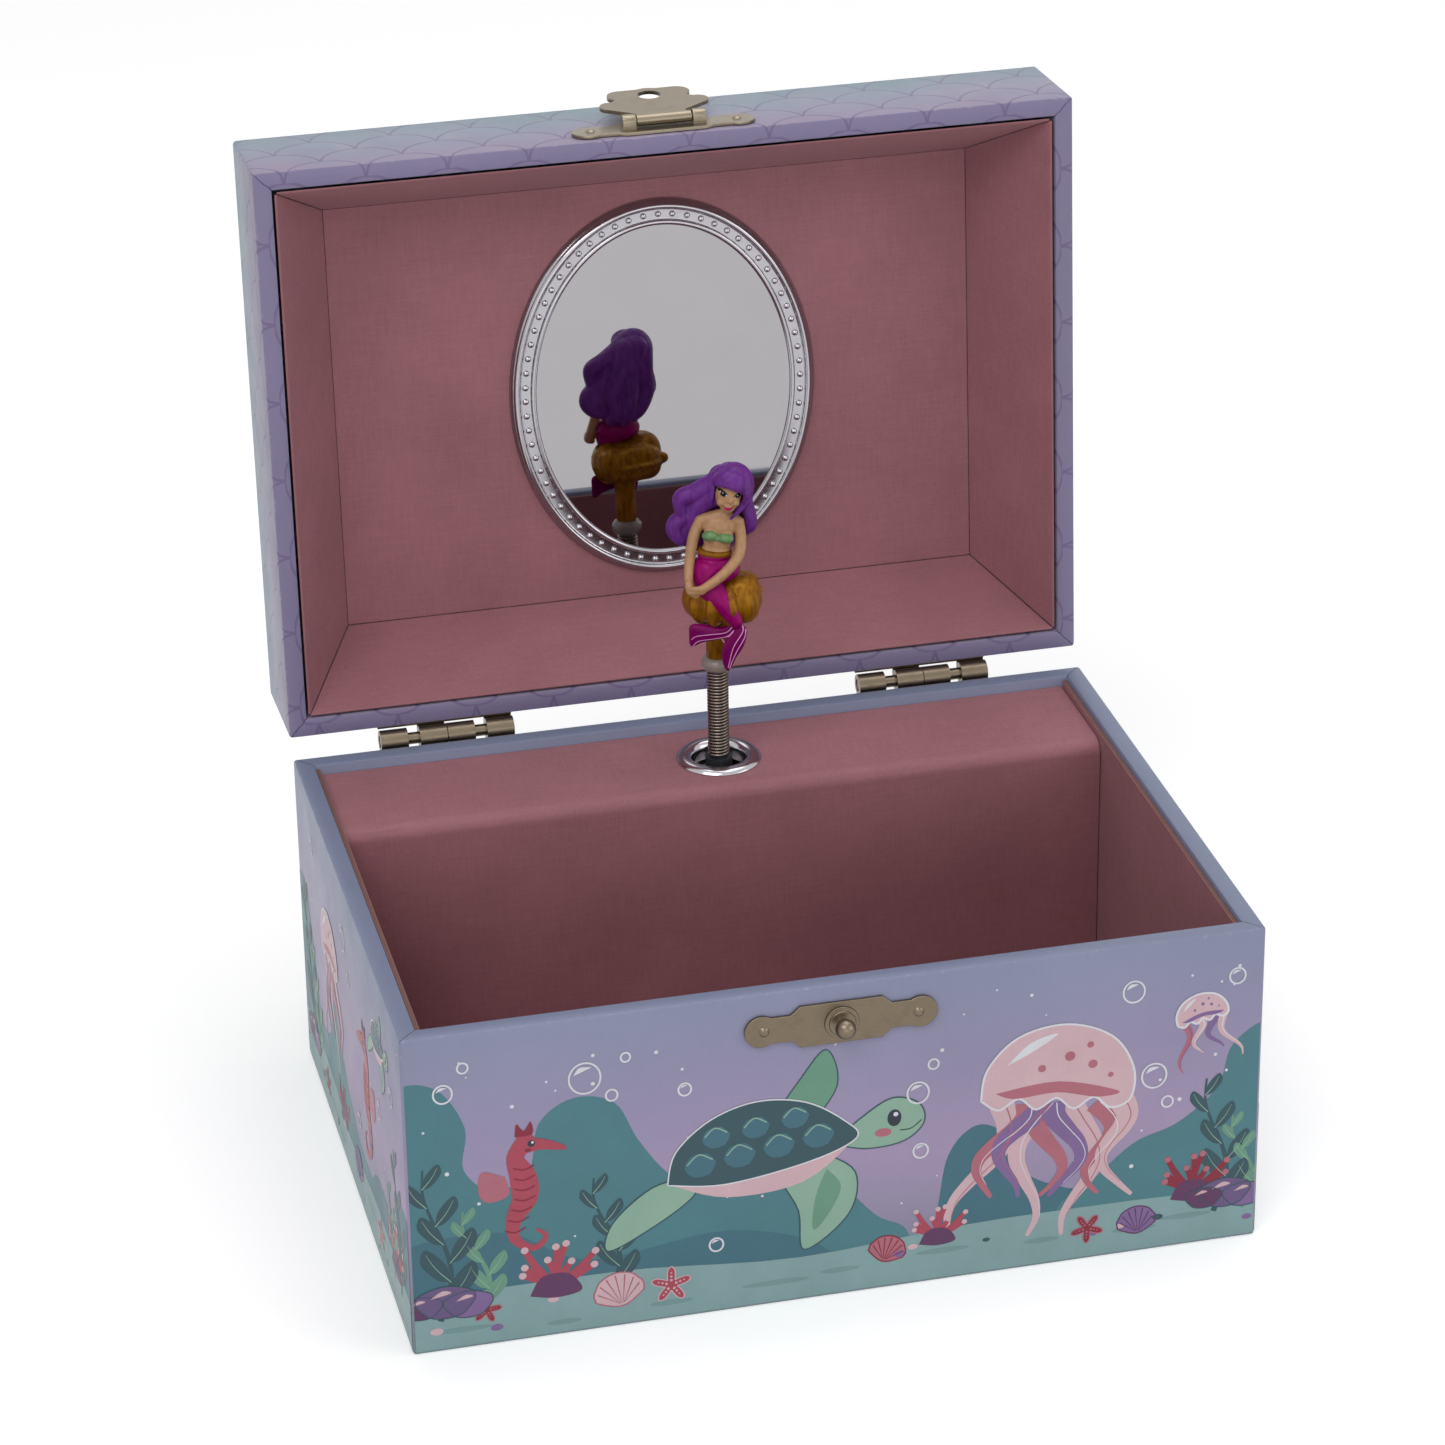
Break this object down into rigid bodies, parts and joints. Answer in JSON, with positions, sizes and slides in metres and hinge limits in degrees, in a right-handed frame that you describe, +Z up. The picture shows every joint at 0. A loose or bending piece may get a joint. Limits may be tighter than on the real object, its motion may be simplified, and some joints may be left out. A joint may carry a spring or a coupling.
{
  "type": "musical jewellery box with turning figure",
  "caption": "Paper-covered jewellery box with hinged mirrored lid, hasp and ball catch, lined compartment, and a mermaid figure on a coil spring driven by a key-wound musical movement",
  "frame": {"origin": "centre of the base's underside, the face that the box stands on", "axes": "+X right, +Y to the hinged back, +Z up, with the lid standing open"},
  "size_m": [0.15, 0.1451, 0.1731],
  "materials": {
    "base_paper": "printed paper over board",
    "floor_board": "grey board, matt",
    "lining_paper": "linen-grained rose lining paper",
    "floor_paper": "linen-grained rose lining paper",
    "eyelet_chrome": "polished plating",
    "aged_nickel": "satin nickel plating, warm grey",
    "bright_nickel": "satin nickel plating",
    "lid_paper": "printed paper over board",
    "mirror_glass": "silvered glass",
    "mirror_silver": "embossed silver finish",
    "brass": "stamped and turned brass",
    "steel": "bright steel",
    "spring_steel": "blued spring steel",
    "black_plastic": "moulded black plastic",
    "collar_plastic": "translucent white plastic",
    "gold_paint": "gold paint on moulded plastic",
    "figure_paint": "painted soft plastic moulding"
  },
  "bodies": {
    "base": {"base_walls": "base_paper", "base_floor": "floor_board", "base_lining": "lining_paper", "compartment_floor": "floor_paper", "mechanism_cover": "lining_paper", "eyelet": "eyelet_chrome", "base_hinge_leaves": "aged_nickel", "base_hinge_nails": "aged_nickel", "hinge_pins": "aged_nickel", "catch_plate": "aged_nickel", "catch_stud": "aged_nickel", "catch_plate_pins": "aged_nickel", "bedplate": "brass", "bedplate_screws": "steel", "spring_housing": "steel", "mainspring": "spring_steel", "drum_bracket": "steel", "comb": "steel", "comb_riser": "steel", "comb_screws": "steel", "governor_bracket": "steel", "bracket_screws": "steel"},
    "lid": {"lid_walls": "lid_paper", "lid_top_board": "lid_paper", "lid_lining": "lining_paper", "mirror_glass": "mirror_glass", "mirror_frame": "mirror_silver", "lid_hinge_leaves": "aged_nickel", "lid_hinge_nails": "aged_nickel", "hasp_plate": "bright_nickel", "hasp_plate_pins": "bright_nickel", "hasp_pin": "bright_nickel"},
    "hasp": {"hasp_leaf": "bright_nickel"},
    "key": {"winding_arbor": "steel", "winding_key": "bright_nickel", "crown_washer": "steel"},
    "crown": {"crown_wheel": "brass"},
    "drum": {"music_drum": "brass", "drum_pins": "steel", "drum_arbor": "steel", "drum_pinion": "brass", "drum_wheel": "brass", "spring_hub": "black_plastic"},
    "governor": {"governor_arbor": "brass", "governor_wheel": "black_plastic"},
    "worm": {"worm_shaft": "steel", "governor_fan": "steel"},
    "spring_top": {"coil_spring": "aged_nickel", "spring_collar": "collar_plastic"},
    "figure": {"seat_post": "gold_paint", "clam_seat": "gold_paint", "mermaid_figure": "figure_paint"}
  },
  "joints": [
    {"name": "lid_hinge", "type": "hinge", "parent": "base", "child": "lid", "pos_m": [0, 0.056, 0.06115], "axis": [1, 0, 0], "range_deg": [0, 94]},
    {"name": "hasp_hinge", "type": "hinge", "parent": "lid", "child": "hasp", "pos_m": [0, 0.0682, 0.17187], "axis": [1, 0, 0], "range_deg": [0, 175]},
    {"name": "figure_tilt", "type": "hinge", "parent": "base", "child": "spring_top", "pos_m": [0.0012, 0.0378, 0.066], "axis": [1, 0, 0], "range_deg": [0, 90], "deforming": ["coil_spring"]},
    {"name": "figure_spin", "type": "hinge", "parent": "spring_top", "child": "figure", "pos_m": [0.0012, 0.0378, 0.08], "axis": [0, 0, 1], "continuous": true},
    {"name": "key_wind", "type": "hinge", "parent": "base", "child": "key", "pos_m": [0.0012, 0.052, 0.0165], "axis": [0, 1, 0], "continuous": true},
    {"name": "drum_spin", "type": "hinge", "parent": "base", "child": "drum", "pos_m": [0.0012, 0.0378, 0.038], "axis": [0, 0, 1], "continuous": true},
    {"name": "crown_turn", "type": "hinge", "parent": "base", "child": "crown", "pos_m": [0.0012, 0.0417, 0.0165], "axis": [0, 1, 0], "continuous": true},
    {"name": "governor_turn", "type": "hinge", "parent": "base", "child": "governor", "pos_m": [-0.0088, 0.0378, 0.051], "axis": [0, 0, 1], "continuous": true},
    {"name": "worm_spin", "type": "hinge", "parent": "base", "child": "worm", "pos_m": [-0.0158, 0.0378, 0.0522], "axis": [0, 1, 0], "continuous": true}
  ],
  "couplings": [
    {"joint": "figure_tilt", "follows": "lid_hinge", "ratio": 0.95745},
    {"joint": "figure_spin", "follows": "drum_spin", "ratio": 1},
    {"joint": "crown_turn", "follows": "drum_spin", "ratio": -0.33333},
    {"joint": "governor_turn", "follows": "drum_spin", "ratio": -3},
    {"joint": "worm_spin", "follows": "drum_spin", "ratio": -30}
  ]
}
